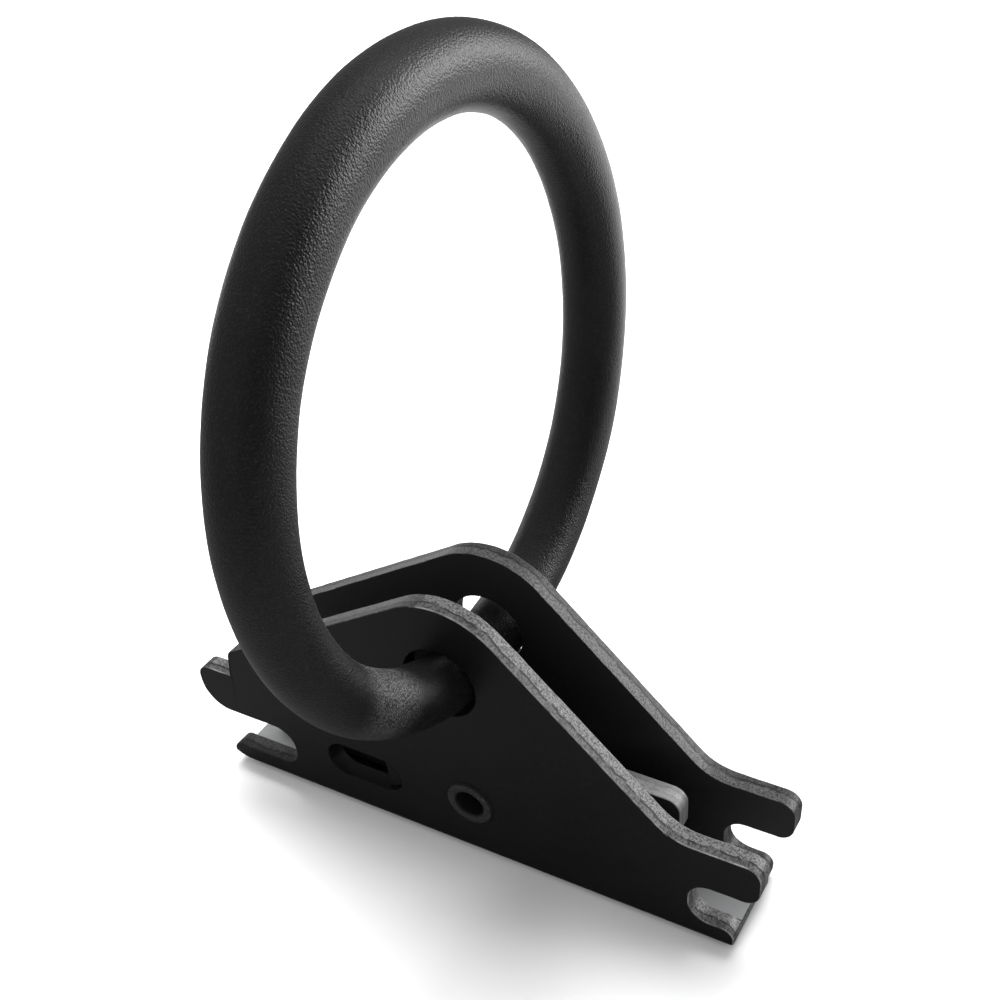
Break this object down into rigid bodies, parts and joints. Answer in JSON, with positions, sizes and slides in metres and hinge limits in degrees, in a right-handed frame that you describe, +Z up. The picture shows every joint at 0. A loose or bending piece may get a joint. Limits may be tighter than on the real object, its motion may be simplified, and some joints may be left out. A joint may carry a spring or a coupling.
{
  "type": "cargo track fitting",
  "caption": "Black steel cargo-track fitting: folded notched hook body, sliding spring latch, hollow rivet and a loose round tie-down ring",
  "frame": {"origin": "middle of the underside of the hook body, between the two cheeks and below the ring eyes", "axes": "X along the fitting from the hook end to the latch tab end, Y across the two cheeks, Z up"},
  "size_m": [0.0741, 0.0648, 0.087],
  "materials": {
    "coated_plate": "satin black coat on sheared sheet, thin on the cut edges",
    "coated_bar": "pebbly satin black powder coat",
    "coated_rivet": "satin black, rubbed on the rolled rim",
    "latch_steel": "thin black coat, worn where it slides",
    "spring_steel": "drawn wire, lightly oiled",
    "bush_steel": "zinc plated"
  },
  "bodies": {
    "body": {"hook_body": "coated_plate", "tube_rivet": "coated_rivet", "front_spacer_bush": "bush_steel", "rear_spacer_bush": "bush_steel", "spring_seat": "latch_steel", "return_spring": "spring_steel"},
    "ring": {"o_ring": "coated_bar"},
    "latch": {"latch_plate": "latch_steel"}
  },
  "joints": [
    {"name": "ring_swing", "type": "hinge", "parent": "body", "child": "ring", "pos_m": [-0.00025, 0, 0.0264], "axis": [0, 1, 0], "range_deg": [-105, 105]},
    {"name": "latch_slide", "type": "slide", "parent": "body", "child": "latch", "axis": [1, 0, 0], "range_m": [0, 0.0074], "stiffness_N_per_m": 900, "springref_m": -0.004, "deforming": ["return_spring"]}
  ]
}
